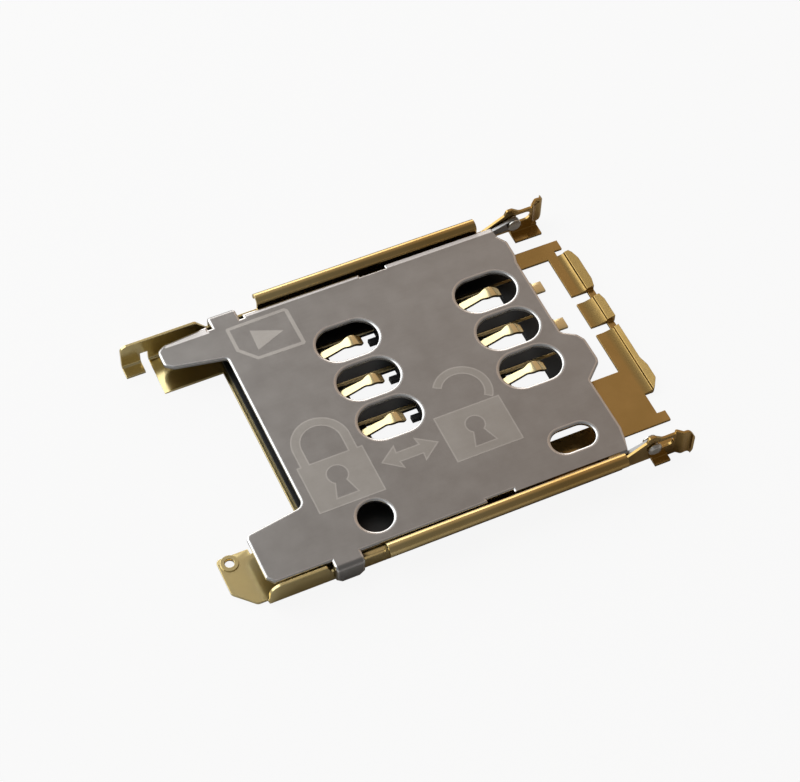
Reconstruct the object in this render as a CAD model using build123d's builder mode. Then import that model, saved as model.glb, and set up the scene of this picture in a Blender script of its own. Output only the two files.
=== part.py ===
from build123d import *
import math
import os

os.makedirs("parts", exist_ok=True)

# Socket for a 25 x 15 mm card. The underside lies on the board at Z = 0, the card goes in toward +X,
# and the cover is shown locked. Far side is +Y, near side is -Y.
FAR = 1
NEAR = -1

# Heights
frame_sheet = 0.15
cover_sheet = 0.20
contact_sheet = 0.15
insulator_top = 0.35
card_gap = 0.80
cover_under = insulator_top + card_gap
cover_top = cover_under + cover_sheet

# Side walls of the frame, outside the cover's edge
cover_half = 7.50
side_gap = 0.18
wall_inner = cover_half + side_gap
wall_outer = wall_inner + frame_sheet
floor_bend = frame_sheet * 2
low_wall_drop = 0.19
low_wall_top = cover_under - low_wall_drop

# Rolled side rails
rail_radius = 0.35
rail_start = -4.60
rail_end_far = 7.60
rail_end_near = 7.95
rail_lip_angle = 20

# Left ends of the side walls
left_end = -11.90
low_wall_start = -7.35
far_left_top = cover_top + 0.30
far_left_corner = 0.35
near_left_top = cover_top + 0.08
near_left_end = -10.45
near_left_corner = 0.60
far_ramp = 0.55
near_ramp = 0.20
far_slot_left = -10.90
far_slot_width = 0.40
far_slot_top = 0.76

# Floor strips of the frame
strip_right = 8.00
far_strip_inner = 5.40
near_strip_inner = 4.90
far_foot_width = 0.83
far_foot_inner = wall_outer - far_foot_width
cross_strip_left = -7.42
cross_strip_width = 0.55
near_plate_inner = 4.55
near_plate_corner = 0.95
near_plate_lap = 0.20
near_plate_round = 0.25
lead_in_length = 0.80
lip_width = 0.45
lip_depth = 0.09
lug_hole_x = -11.35
lug_hole_y = 5.02
lug_hole_radius = 0.24
lug_collar_radius = 0.44
lug_collar_height = 0.07

# End of the frame behind the card
end_strip_left = 10.62
end_ramp_start = 11.05
end_ramp_top = 0.27
end_step_top = 0.37
end_edge_top = 0.49
end_step = 0.06
end_far = 5.30
end_near = -4.25
end_gap_1 = (2.66, 2.12)
end_gap_2 = (0.50, -0.02)
end_creases = (11.50, 11.56, 11.62)
end_edge = 11.87
end_bulge = 0.10
end_tongue = 0.13
far_arm_inner = 5.30
far_arm_outer = 6.30
end_nub = 11.60
pad_left = 8.60
pad_right = 11.15
pad_far = -2.50
pad_near = -6.10
nub_width = 0.60
arm_lap = 0.50
pad_root_width = 1.00

# Hinge
pin_x = 9.60
pin_z = cover_top - 0.20
pin_radius = 0.25
pin_head_radius = 0.37
pin_fit = 0.03
slot_fit = 0.05
travel = 0.80
arm_fit = 0.05
arm_outer = wall_inner - arm_fit
arm_inner = arm_outer - cover_sheet
arm_radius = 0.36
arm_start = 7.30
arm_low = 0.78
head_thick = 0.10
outer_head = 0.20

# Ears of the frame
ear_start = 8.00
ear_peak_x = 9.45
ear_peak_top = 2.00
ear_top = 1.64
ear_end = 10.80
tip_jog = 0.27
tip_offset = 0.24
tip_flat = 0.44
tip_curl = 0.28
tip_low = 0.12
tip_top = 1.82
tip_corner = 0.42
foot_left = 9.60
foot_right = 11.12
foot_width = 0.78
foot_inner = wall_outer - foot_width
outer_foot_right = 10.45
outer_foot_reach = 0.37
outer_foot = wall_outer + outer_foot_reach

# Cover
notch_x = -7.20
notch_far = 5.28
notch_near = -4.15
far_arm_end = -10.20
near_arm_end = -10.35
plate_right = 8.57
arm_root = plate_right - 0.26
shoulder_right = plate_right + 0.13
bump_right = 9.52
bump_far = 0.10
bump_near = -3.10
tab_left = -7.20
tab_right = -5.72
tab_fit = 0.05
tab_inner = wall_outer + tab_fit
tab_outer = tab_inner + cover_sheet
tab_bottom = 0.12
tab_bend = 0.27
tab_chamfer = 0.28
relief = 0.22
edge_notch_left = 0.85
edge_notch_width = 1.42
edge_notch_depth = 0.16
round_hole_x = -4.33
round_hole_y = -6.05
round_hole_radius = 0.87
oval_x = 6.22
oval_y = -5.85
oval_length = 2.30
oval_width = 1.36

# Contacts, on the standard card grid
pitch_x = 7.62
pitch_y = 2.54
column_left = -1.35
row_far = 3.90
columns = 2
rows = 3
slot_length = 3.22
slot_width = 2.10
contact_half = 0.95
window_half = 0.78
bar_left = -3.40
window_left = -2.90
window_right = 2.00
bar_right = 2.35
finger_root_width = 0.44
finger_neck_width = 0.28
finger_tip_width = 0.66
crest_x = 0.30
neck_before_crest = 0.55
paddle_before_crest = 0.30
crest_drop = 0.07
nose_x = 0.78
nose_drop = 0.42
crest_roll = 0.45
tail_width = 0.65
tail_down = 2.62
tail_end = 3.32

# Insulator
insulator_left = -7.25
insulator_far = wall_inner - 1.08
insulator_near = -2.85
insulator_leg_right = -2.70
insulator_leg_near = 0.73 - wall_inner
tail_seat = 0.07
opening_start = -0.92
recess_floor = 0.12
left_opening = 1.80
right_opening = 1.00
tail_opening = 0.25
pip_length = 0.55
pip_width = 0.34
pip_y = 0.17
pip_high = 0.08

column_x = [column_left + pitch_x * i for i in range(columns)]
row_y = [row_far - pitch_y * j for j in range(rows)]
contact_places = [(x, y) for x in column_x for y in row_y]
insulator_right = column_x[-1] + tail_down - tail_seat


def side_plane(side, distance):
    # Upright plane along X whose normal points away from the middle of the socket.
    return Plane(origin=(0, side * distance, 0), x_dir=(1, 0, 0), z_dir=(0, side, 0))


def upright(side, points):
    # Points of an upright outline, turned for a plane whose own up direction depends on the side.
    return [(x, -side * z) for x, z in points]


def side_profile(side, points):
    # Points of a cross-section in the YZ plane.
    return [(side * y, z) for y, z in points]


# Frame: one gold-plated sheet, stamped and folded
def floor_outlines():
    # Outlines of the flat strips and feet, each with the radii of its corners.
    bend_edge = wall_outer - floor_bend
    far_strip = [
        (far_slot_left + far_slot_width, far_strip_inner),
        (strip_right, far_strip_inner),
        (strip_right, bend_edge),
        (far_slot_left + far_slot_width, bend_edge),
    ]
    far_foot = [
        (left_end, far_foot_inner),
        (far_slot_left, far_foot_inner),
        (far_slot_left, bend_edge),
        (left_end, bend_edge),
    ]
    near_strip = [
        (near_left_end, -bend_edge),
        (strip_right, -bend_edge),
        (strip_right, -near_strip_inner),
        (near_left_end, -near_strip_inner),
    ]
    near_plate = [
        (left_end, -near_plate_inner),
        (near_left_end + near_plate_lap, -near_plate_inner),
        (near_left_end + near_plate_lap, -bend_edge),
        (left_end + near_plate_corner, -bend_edge),
        (left_end, -bend_edge + near_plate_corner),
    ]
    cross_strip = [
        (cross_strip_left, -near_strip_inner),
        (cross_strip_left + cross_strip_width, -near_strip_inner),
        (cross_strip_left + cross_strip_width, far_strip_inner),
        (cross_strip_left, far_strip_inner),
    ]
    far_arm = [
        (strip_right - arm_lap, far_arm_inner),
        (pad_right, far_arm_inner),
        (pad_right, far_arm_outer - nub_width),
        (end_nub, far_arm_outer - nub_width),
        (end_nub, far_arm_outer),
        (strip_right - arm_lap, far_arm_outer),
    ]
    pad = [
        (pad_left, pad_near),
        (end_nub, pad_near),
        (end_nub, pad_near + nub_width),
        (pad_right, pad_near + nub_width),
        (pad_right, pad_far),
        (pad_left, pad_far),
    ]
    pad_root = [
        (strip_right - arm_lap, -near_strip_inner - pad_root_width),
        (pad_left, -near_strip_inner - pad_root_width),
        (pad_left, -near_strip_inner),
        (strip_right - arm_lap, -near_strip_inner),
    ]
    square = [far_strip, far_foot, near_strip, cross_strip, far_arm, pad, pad_root]
    near_plate_radii = [near_plate_round, 0, 0, near_plate_round, near_plate_round]
    return [(outline, [0] * len(outline)) for outline in square] + [(near_plate, near_plate_radii)]


def wall_corners(side):
    # Corners of one side wall, from its left end to its ear: (x, z, corner radius).
    if side == FAR:
        left = [
            (left_end, floor_bend, 0),
            (left_end, far_left_top, far_left_corner),
            (low_wall_start - far_ramp, far_left_top, 0.20),
        ]
    else:
        left = [
            (near_left_end, floor_bend, 0),
            (near_left_end, near_left_top, near_left_corner),
            (low_wall_start - near_ramp, near_left_top, 0.10),
        ]
    ear = [
        (low_wall_start, low_wall_top, 0),
        (ear_start - 0.10, low_wall_top, 0),
        (ear_start, low_wall_top + 0.05, 0),
        (ear_peak_x - 0.28, cover_top + 0.32, 0),
        (ear_peak_x - 0.16, ear_peak_top, 0.12),
        (ear_peak_x + 0.16, ear_peak_top, 0.18),
        (ear_peak_x + 0.62, ear_top, 0.30),
        (ear_end, ear_top, 0),
        (ear_end, floor_bend, 0),
    ]
    return left + ear


def tip_line(side):
    # Middle line of the ear's tip, seen from above: a jog outward and a curl at its end.
    middle = wall_inner + frame_sheet / 2
    corner_x = ear_end + tip_jog + tip_flat
    points = [
        (ear_end - 0.06, middle),
        (ear_end, middle),
        (ear_end + tip_jog, middle + tip_offset),
        (corner_x, middle + tip_offset),
        (corner_x, middle + tip_offset + tip_curl),
    ]
    return [(x, side * y) for x, y in points]


def tip_waste():
    # Area cut away around the tip's two rounded corners: (x, z, corner radius).
    right = ear_end + tip_jog + tip_flat + frame_sheet / 2
    left = right - tip_corner - 0.05
    return [
        (left, tip_top, 0),
        (left, tip_top + 0.2, 0),
        (right + 0.2, tip_top + 0.2, 0),
        (right + 0.2, tip_low - 0.1, 0),
        (left, tip_low - 0.1, 0),
        (left, tip_low, 0),
        (right, tip_low, tip_corner),
        (right, tip_top, tip_corner),
    ]


def end_waste():
    # Area cut away outside the end strip, whose edge bulges at each segment: (x, y, corner radius).
    outside = end_edge + 0.5
    bulge = end_edge + end_bulge
    tongue = end_edge + end_tongue
    return [
        (outside, end_near - 0.2, 0),
        (end_edge - 0.52, end_near - 0.2, 0),
        (end_edge - 0.15, end_near + 0.08, 0.25),
        (tongue, end_near + 0.53, 0.30),
        (tongue, end_near + 1.40, 0.30),
        (end_edge, end_near + 1.95, 0.30),
        (end_edge, end_gap_2[1], 0.20),
        (bulge, end_gap_2[0] - 0.05, 0.20),
        (bulge, end_gap_1[1] - 0.45, 0.20),
        (end_edge, end_gap_1[1], 0.15),
        (end_edge, end_gap_1[0], 0.15),
        (bulge, end_gap_1[0] + 0.45, 0.20),
        (bulge, end_far - 0.70, 0.30),
        (end_edge - 0.03, end_far - 0.20, 0.20),
        (end_edge - 0.25, end_far + 0.2, 0),
        (outside, end_far + 0.2, 0),
    ]


def rail_section(side):
    # Cross-section of a rail: the wall's edge rolled outward into a bead.
    centre_y = wall_inner + rail_radius
    centre_z = cover_top
    inner_radius = rail_radius - frame_sheet
    lip = math.radians(rail_lip_angle)
    outer_end = (centre_y + rail_radius * math.cos(lip), centre_z - rail_radius * math.sin(lip))
    inner_end = (centre_y + inner_radius * math.cos(lip), centre_z - inner_radius * math.sin(lip))
    top_angle = math.radians(80)
    outer_mid = (
        centre_y + rail_radius * math.cos(top_angle),
        centre_z + rail_radius * math.sin(top_angle),
    )
    inner_mid = (
        centre_y + inner_radius * math.cos(top_angle),
        centre_z + inner_radius * math.sin(top_angle),
    )
    points = {
        "foot_in": (wall_inner, low_wall_top - 0.1),
        "start_out": (wall_inner, centre_z),
        "mid_out": outer_mid,
        "end_out": outer_end,
        "end_in": inner_end,
        "mid_in": inner_mid,
        "start_in": (wall_outer, centre_z),
        "foot_out": (wall_outer, low_wall_top - 0.1),
    }
    return {name: (side * y, z) for name, (y, z) in points.items()}


with BuildPart() as frame:
    for outline, radii in floor_outlines():
        with BuildSketch(Plane.XY):
            with BuildLine():
                FilletPolyline(*outline, radius=radii, close=True)
            make_face()
        extrude(amount=frame_sheet)

    for side in (FAR, NEAR):
        # Bend between floor and wall
        bend_left = left_end if side == FAR else near_left_end
        with BuildSketch(Plane.YZ.offset(bend_left)):
            with BuildLine():
                centre = (side * (wall_outer - floor_bend), floor_bend)
                outer = CenterArc(centre, floor_bend, -90, side * 90)
                inner = CenterArc(centre, floor_bend - frame_sheet, -90, side * 90)
                Line(outer @ 0, inner @ 0)
                Line(outer @ 1, inner @ 1)
            make_face()
        extrude(amount=strip_right - bend_left)
        # Wall, ear and slot for the pin
        with BuildSketch(side_plane(side, wall_inner)):
            with BuildLine():
                corners = wall_corners(side)
                outline = upright(side, [(x, z) for x, z, radius in corners])
                FilletPolyline(*outline, radius=[radius for x, z, radius in corners], close=True)
            make_face()
            with Locations((pin_x + travel / 2, -side * pin_z)):
                SlotCenterToCenter(travel, 2 * (pin_radius + slot_fit), mode=Mode.SUBTRACT)
        extrude(amount=frame_sheet)
        # Rolled rail
        rail_end = rail_end_far if side == FAR else rail_end_near
        section = rail_section(side)
        with BuildSketch(Plane.YZ.offset(rail_start)):
            with BuildLine():
                Line(section["foot_in"], section["start_out"])
                ThreePointArc(section["start_out"], section["mid_out"], section["end_out"])
                Line(section["end_out"], section["end_in"])
                ThreePointArc(section["end_in"], section["mid_in"], section["start_in"])
                Line(section["start_in"], section["foot_out"])
                Line(section["foot_out"], section["foot_in"])
            make_face()
        extrude(amount=rail_end - rail_start)
        # Tip of the ear, with its two free corners rounded
        with BuildSketch(Plane.XY.offset(tip_low)):
            with BuildLine():
                FilletPolyline(*tip_line(side), radius=[0.12, 0.12, tip_curl - 0.05])
            trace(line_width=frame_sheet)
        extrude(amount=tip_top - tip_low)
        with BuildSketch(side_plane(side, wall_inner - 0.05)):
            with BuildLine():
                corners = tip_waste()
                outline = upright(side, [(x, z) for x, z, radius in corners])
                FilletPolyline(*outline, radius=[radius for x, z, radius in corners], close=True)
            make_face()
        extrude(amount=1.0, mode=Mode.SUBTRACT)
        # Solder feet under the ear
        with BuildSketch(Plane.XY):
            with Locations(((foot_left + foot_right) / 2, side * (foot_inner + wall_outer) / 2)):
                Rectangle(foot_right - foot_left, wall_outer - foot_inner)
            with Locations(((foot_left + outer_foot_right) / 2, side * (wall_inner + outer_foot) / 2)):
                Rectangle(outer_foot_right - foot_left, outer_foot - wall_inner)
        extrude(amount=frame_sheet)
        with BuildSketch(side_plane(side, wall_inner)):
            with Locations(((foot_left + foot_right) / 2, -side * floor_bend / 2)):
                Rectangle(foot_right - foot_left, floor_bend)
        extrude(amount=frame_sheet)

    # End strip: a flat base, three folded segments that rise to its edge, and the gaps between them
    with BuildSketch(Plane.XY):
        with Locations(((end_strip_left + end_edge) / 2, (end_far + end_near) / 2)):
            Rectangle(end_edge - end_strip_left, end_far - end_near)
        for gap_far, gap_near in (end_gap_1, end_gap_2):
            with Locations(((end_strip_left + end_creases[0]) / 2, (gap_far + gap_near) / 2)):
                Rectangle(end_creases[0] - end_strip_left, gap_far - gap_near, mode=Mode.SUBTRACT)
    extrude(amount=frame_sheet)
    segment_ends = [(end_far, end_gap_1[0]), (end_gap_1[1], end_gap_2[0]), (end_gap_2[1], end_near)]
    for (segment_far, segment_near), crease in zip(segment_ends, end_creases):
        with BuildSketch(Plane.XZ.offset(-segment_far)):
            with BuildLine():
                Polyline(
                    (end_ramp_start, 0),
                    (end_ramp_start, frame_sheet),
                    (crease - end_step, end_ramp_top),
                    (crease, end_step_top),
                    (end_edge + 2 * end_bulge, end_edge_top),
                    (end_edge + 2 * end_bulge, 0),
                    close=True,
                )
            make_face()
        extrude(amount=segment_far - segment_near)
    with BuildSketch(Plane.XY):
        with BuildLine():
            corners = end_waste()
            outline = [(x, y) for x, y, radius in corners]
            FilletPolyline(*outline, radius=[radius for x, y, radius in corners], close=True)
        make_face()
    extrude(amount=2 * end_edge_top, mode=Mode.SUBTRACT)

    # Slot in the far wall and hole in the near lug
    with BuildSketch(Plane.XY):
        with Locations((far_slot_left + far_slot_width / 2, wall_outer)):
            Rectangle(far_slot_width, 2 * (wall_outer - far_strip_inner))
    extrude(amount=far_slot_top, mode=Mode.SUBTRACT)
    with BuildSketch(Plane.XY):
        with Locations((lug_hole_x, -lug_hole_y)):
            Circle(lug_collar_radius)
    extrude(amount=frame_sheet + lug_collar_height)
    with Locations((lug_hole_x, -lug_hole_y, frame_sheet + lug_collar_height)):
        Hole(lug_hole_radius, depth=frame_sheet + lug_collar_height)
    # Coined slopes where the card slides in: the far strip's left end and the near plate's inner edge
    strip_end = far_slot_left + far_slot_width
    with BuildSketch(Plane.XZ.offset(-wall_inner)):
        with BuildLine():
            Polyline(
                (strip_end, frame_sheet - lip_depth),
                (strip_end, frame_sheet),
                (strip_end + lead_in_length, frame_sheet),
                close=True,
            )
        make_face()
    extrude(amount=wall_inner - far_strip_inner, mode=Mode.SUBTRACT)
    with BuildSketch(Plane.YZ.offset(left_end)):
        with BuildLine():
            Polyline(
                (-near_plate_inner, frame_sheet - lip_depth),
                (-near_plate_inner, frame_sheet),
                (-near_plate_inner - lip_width, frame_sheet),
                close=True,
            )
        make_face()
    extrude(amount=near_left_end + near_plate_lap - left_end, mode=Mode.SUBTRACT)

frame.part.label = "frame"
export_step(frame.part, "parts/frame.step")


# Cover: one steel sheet, with side tabs and hinge arms folded down
def cover_corners():
    # Corners of the flat sheet: (x, y, corner radius).
    return [
        (shoulder_right, cover_half - 2.05, 0),
        (shoulder_right, cover_half - 1.10, 0.18),
        (plate_right - 0.20, cover_half - 0.60, 0.12),
        (arm_root, cover_half, 0),
        (tab_right + relief, cover_half, 0),
        (tab_right + relief, cover_half - relief, 0),
        (tab_right, cover_half - relief, 0),
        (tab_right, cover_half, 0),
        (tab_left, cover_half, 0),
        (tab_left, cover_half - relief, 0),
        (tab_left - relief, cover_half - relief, 0),
        (tab_left - relief, cover_half, 0),
        (far_arm_end + 0.40, cover_half - 0.23, 0.50),
        (far_arm_end, cover_half - 0.50, 0.32),
        (far_arm_end, cover_half - 1.40, 0.32),
        (far_arm_end + 0.40, cover_half - 1.70, 0.40),
        (notch_x, notch_far, 0.22),
        (notch_x, notch_near, 0.45),
        (near_arm_end, notch_near - 0.47, 0.28),
        (near_arm_end, 0.40 - cover_half, 0.12),
        (near_arm_end + 0.33, -cover_half, 0),
        (arm_root, -cover_half, 0),
        (plate_right - 0.05, 0.70 - cover_half, 0),
        (plate_right + 0.06, 1.30 - cover_half, 0),
        (plate_right, bump_near, 0.15),
        (bump_right - 0.08, bump_near + 0.80, 0.20),
        (bump_right, bump_near + 1.05, 0.25),
        (bump_right - 0.03, bump_far - 0.85, 0.40),
        (bump_right - 0.28, bump_far - 0.42, 0.30),
        (plate_right, bump_far, 0.30),
        (plate_right, cover_half - 2.50, 0),
    ]


with BuildPart() as cover:
    with BuildSketch(Plane.XY.offset(cover_under)):
        with BuildLine():
            corners = cover_corners()
            outline = [(x, y) for x, y, radius in corners]
            FilletPolyline(*outline, radius=[radius for x, y, radius in corners], close=True)
        make_face()
        with Locations(*contact_places):
            SlotOverall(slot_length, slot_width, mode=Mode.SUBTRACT)
        with Locations((round_hole_x, round_hole_y)):
            Circle(round_hole_radius, mode=Mode.SUBTRACT)
        with Locations((oval_x, oval_y)):
            SlotOverall(oval_length, oval_width, mode=Mode.SUBTRACT)
        for side in (FAR, NEAR):
            with Locations((edge_notch_left + edge_notch_width / 2, side * cover_half)):
                Rectangle(edge_notch_width, 2 * edge_notch_depth, mode=Mode.SUBTRACT)
    extrude(amount=cover_sheet)

    for side in (FAR, NEAR):
        # Side tab over the low wall
        with BuildSketch(Plane.YZ.offset(tab_left)):
            with BuildLine():
                bend_y = tab_outer - tab_bend
                bend_z = cover_top - tab_bend
                inner_bend = tab_bend - cover_sheet
                root = cover_half - 0.1
                Polyline(*side_profile(side, [(root, cover_top), (bend_y, cover_top)]))
                outer = CenterArc((side * bend_y, bend_z), tab_bend, 90, -side * 90)
                inner = CenterArc((side * bend_y, bend_z), inner_bend, 90, -side * 90)
                Polyline(outer @ 1, (side * tab_outer, tab_bottom), (side * tab_inner, tab_bottom), inner @ 1)
                Polyline(inner @ 0, (side * root, cover_under), (side * root, cover_top))
            make_face()
        extrude(amount=tab_right - tab_left)
        # Hinge arm
        with BuildSketch(Plane.YZ.offset(arm_start)):
            with BuildLine():
                bend_y = arm_outer - tab_bend
                root = arm_inner - 0.3
                Polyline(*side_profile(side, [(root, cover_top), (bend_y, cover_top)]))
                outer = CenterArc((side * bend_y, bend_z), tab_bend, 90, -side * 90)
                inner = CenterArc((side * bend_y, bend_z), inner_bend, 90, -side * 90)
                Polyline(outer @ 1, (side * arm_outer, arm_low), (side * arm_inner, arm_low), inner @ 1)
                Polyline(inner @ 0, (side * root, cover_under), (side * root, cover_top))
            make_face()
        extrude(amount=arm_root - arm_start)
        with BuildSketch(side_plane(side, arm_inner)):
            with BuildLine():
                arm_high = cover_top - tab_bend
                outline = [
                    (pin_x, pin_z - arm_radius),
                    (arm_root - arm_lap, arm_low),
                    (arm_root - arm_lap, arm_high),
                    (arm_root, arm_high),
                    (pin_x, pin_z + arm_radius),
                ]
                edge = Polyline(*upright(side, outline))
                ThreePointArc(edge @ 1, (pin_x + arm_radius, -side * pin_z), edge @ 0)
            make_face()
            with Locations((pin_x, -side * pin_z)):
                Circle(pin_radius + pin_fit, mode=Mode.SUBTRACT)
        extrude(amount=cover_sheet)
    # Bottom corners of the two tabs
    chamfer(cover.edges().filter_by(Axis.Y).group_by(Axis.Z)[0], tab_chamfer)

cover.part.label = "cover"
export_step(cover.part, "parts/cover.step")


# Insulator: black moulding that carries the contacts
with BuildPart() as insulator:
    with BuildSketch(Plane.XY):
        with BuildLine():
            Polyline(
                (insulator_left, insulator_far),
                (insulator_left, insulator_leg_near),
                (insulator_leg_right, insulator_leg_near),
                (insulator_leg_right, insulator_near),
                (insulator_right, insulator_near),
                (insulator_right, far_strip_inner),
                (strip_right, far_strip_inner),
                (strip_right, insulator_far),
                close=True,
            )
        make_face()
    extrude(amount=insulator_top)
    # Rebates over the floor strips of the frame
    for outline, radii in floor_outlines():
        with BuildSketch(Plane.XY):
            with BuildLine():
                FilletPolyline(*outline, radius=radii, close=True)
            make_face()
        extrude(amount=frame_sheet, mode=Mode.SUBTRACT)
    for column, opening in zip(column_x, (left_opening, right_opening)):
        for y in row_y:
            # Pocket for the contact's own frame, the window under its spring and the recess under its root
            with BuildSketch(Plane.XY.offset(insulator_top)):
                with Locations((column + (bar_left + bar_right) / 2, y)):
                    Rectangle(bar_right - bar_left, 2 * contact_half)
                with Locations((column + (window_left + window_right) / 2, y)):
                    Rectangle(window_right - window_left, 2 * window_half, mode=Mode.SUBTRACT)
                with Locations((column + (bar_right + tail_down) / 2, y)):
                    Rectangle(tail_down - bar_right, tail_width)
            extrude(amount=-contact_sheet, mode=Mode.SUBTRACT)
            with BuildSketch(Plane.XY):
                with Locations((column + (opening_start + opening) / 2, y)):
                    Rectangle(opening - opening_start, 2 * window_half)
            extrude(amount=insulator_top, mode=Mode.SUBTRACT)
            with BuildSketch(Plane.XY.offset(recess_floor)):
                with Locations((column + (window_left + opening_start) / 2, y)):
                    Rectangle(opening_start - window_left, 2 * window_half)
            extrude(amount=insulator_top - recess_floor, mode=Mode.SUBTRACT)
    for y in row_y:
        # Opening for the solder tail of the left column, and the pip in its window
        with BuildSketch(Plane.XY):
            with Locations((column_x[0] + (tail_down + tail_end) / 2, y)):
                Rectangle(tail_end - tail_down + 2 * tail_opening, tail_width + 2 * tail_opening)
        extrude(amount=insulator_top, mode=Mode.SUBTRACT)
        with BuildSketch(Plane.XY.offset(pip_high)):
            with Locations((column_x[0] + left_opening - pip_length / 2, y + pip_y)):
                Rectangle(pip_length, pip_width)
        extrude(amount=insulator_top - pip_high)

insulator.part.label = "insulator"
export_step(insulator.part, "parts/insulator.step")


# Contacts: six alike, each one strip with its spring cut free and its tail bent down
def spring_line(x):
    # Centre line of the spring, from its root up to the crest and down to the nose.
    root = (x + window_left - 0.05, insulator_top - contact_sheet / 2)
    crest = (x + crest_x, cover_top - crest_drop - contact_sheet / 2)
    nose = (x + nose_x, cover_top - crest_drop - nose_drop)
    return root, crest, nose


def make_contact(x, y):
    root, crest, nose = spring_line(x)
    with BuildPart() as contact:
        with BuildSketch(Plane.XY.offset(insulator_top - contact_sheet)):
            with Locations((x + (bar_left + bar_right) / 2, y)):
                Rectangle(bar_right - bar_left, 2 * contact_half)
            with Locations((x + (window_left + window_right) / 2, y)):
                Rectangle(window_right - window_left, 2 * window_half, mode=Mode.SUBTRACT)
            with Locations((x + (bar_right + tail_down) / 2, y)):
                Rectangle(tail_down - bar_right, tail_width)
        extrude(amount=contact_sheet)
        # Tail down to the board
        with BuildSketch(Plane.XZ.offset(-y - tail_width / 2)):
            with BuildLine():
                Polyline(
                    (x + tail_down, insulator_top),
                    (x + tail_down + contact_sheet, insulator_top - contact_sheet / 2),
                    (x + tail_down + contact_sheet, contact_sheet),
                    (x + tail_end, contact_sheet),
                    (x + tail_end, 0),
                    (x + tail_down, 0),
                    close=True,
                )
            make_face()
        extrude(amount=tail_width)
        # Spring, as a bent strip cut to its outline
        with BuildSketch(Plane.XZ.offset(-y - finger_tip_width / 2)):
            with BuildLine():
                FilletPolyline(root, crest, nose, radius=crest_roll)
            trace(line_width=contact_sheet)
        extrude(amount=finger_tip_width)
        with BuildSketch(Plane.XY.offset(insulator_top)):
            for side in (FAR, NEAR):
                with BuildLine():
                    Polyline(
                        (x + window_left + 0.01, y + side * finger_tip_width),
                        (x + window_left + 0.01, y + side * finger_root_width / 2),
                        (x + crest_x - neck_before_crest, y + side * finger_neck_width / 2),
                        (x + crest_x - paddle_before_crest, y + side * finger_tip_width / 2),
                        (x + crest_x - paddle_before_crest, y + side * finger_tip_width),
                        close=True,
                    )
                make_face()
        extrude(amount=cover_top, both=True, mode=Mode.SUBTRACT)
    return contact.part


for number, (x, y) in enumerate(contact_places, 1):
    spring = make_contact(x, y)
    spring.label = f"contact_{number}"
    export_step(spring, f"parts/contact_{number}.step")


# Hinge pins, one at each ear
def make_pin(side):
    inner_face = arm_inner - pin_fit
    outer_face = wall_outer + pin_fit
    with BuildPart() as pin:
        with BuildSketch(Plane.XY.offset(pin_z)):
            with BuildLine():
                Polyline(
                    (pin_x, side * (inner_face - head_thick)),
                    (pin_x + pin_head_radius, side * (inner_face - head_thick)),
                    (pin_x + pin_head_radius, side * inner_face),
                    (pin_x + pin_radius, side * inner_face),
                    (pin_x + pin_radius, side * outer_face),
                    (pin_x + pin_head_radius, side * outer_face),
                    (pin_x + pin_head_radius, side * (outer_face + outer_head / 2)),
                    (pin_x + pin_radius, side * (outer_face + outer_head)),
                    (pin_x, side * (outer_face + outer_head)),
                    close=True,
                )
            make_face()
        revolve(axis=Axis((pin_x, 0, pin_z), (0, 1, 0)))
    return pin.part


for name, side in (("hinge_pin_far", FAR), ("hinge_pin_near", NEAR)):
    pin_body = make_pin(side)
    pin_body.label = name
    export_step(pin_body, f"parts/{name}.step")
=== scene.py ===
import math

import bmesh
import bpy
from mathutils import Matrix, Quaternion, Vector
from mathutils.bvhtree import BVHTree
from mathutils.geometry import delaunay_2d_cdt, tessellate_polygon


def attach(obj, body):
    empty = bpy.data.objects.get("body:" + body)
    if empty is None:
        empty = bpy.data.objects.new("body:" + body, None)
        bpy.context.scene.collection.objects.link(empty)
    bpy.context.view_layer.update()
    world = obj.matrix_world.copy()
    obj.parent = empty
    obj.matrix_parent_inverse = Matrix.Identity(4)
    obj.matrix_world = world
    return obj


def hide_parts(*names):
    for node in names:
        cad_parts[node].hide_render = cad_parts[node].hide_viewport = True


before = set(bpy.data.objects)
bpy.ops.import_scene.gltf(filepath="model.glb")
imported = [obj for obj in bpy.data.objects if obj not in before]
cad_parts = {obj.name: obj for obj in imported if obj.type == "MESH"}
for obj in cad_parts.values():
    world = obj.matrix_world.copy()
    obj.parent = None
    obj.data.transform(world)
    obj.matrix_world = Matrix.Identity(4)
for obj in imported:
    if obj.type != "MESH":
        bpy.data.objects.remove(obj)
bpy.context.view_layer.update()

mm = 0.001
flatAngle = math.radians(0.4)     # two faces that meet at less than this lie in one plane
sharpAngle = math.radians(35)     # an edge that turns by more than this is rounded
sliver = 1e-5 * mm * mm           # a face smaller than this is left over from rounding
print("frame loaded:", len(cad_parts), "nodes")


# Helpers for meshes

def showMesh(name, mesh):
    piece = bpy.data.objects.new(name, mesh)
    bpy.context.scene.collection.objects.link(piece)
    return piece


def bakeModifiers(piece, name):
    # The evaluated shape becomes a plain mesh of its own, and the modifiers go.
    bpy.context.view_layer.update()
    graph = bpy.context.evaluated_depsgraph_get()
    mesh = bpy.data.meshes.new_from_object(piece.evaluated_get(graph), depsgraph=graph)
    mesh.name = name
    old = piece.data
    piece.modifiers.clear()
    piece.data = mesh
    bpy.data.meshes.remove(old)
    return piece


def roundEdges(piece, width, segments):
    bevel = piece.modifiers.new("sheared edges", "BEVEL")
    bevel.width = width * mm
    bevel.segments = segments
    bevel.limit_method = "ANGLE"
    bevel.angle_limit = sharpAngle
    bevel.use_clamp_overlap = False


def levelNormals(piece):
    weighted = piece.modifiers.new("flat faces stay flat", "WEIGHTED_NORMAL")
    weighted.weight = 100
    weighted.keep_sharp = False


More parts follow.
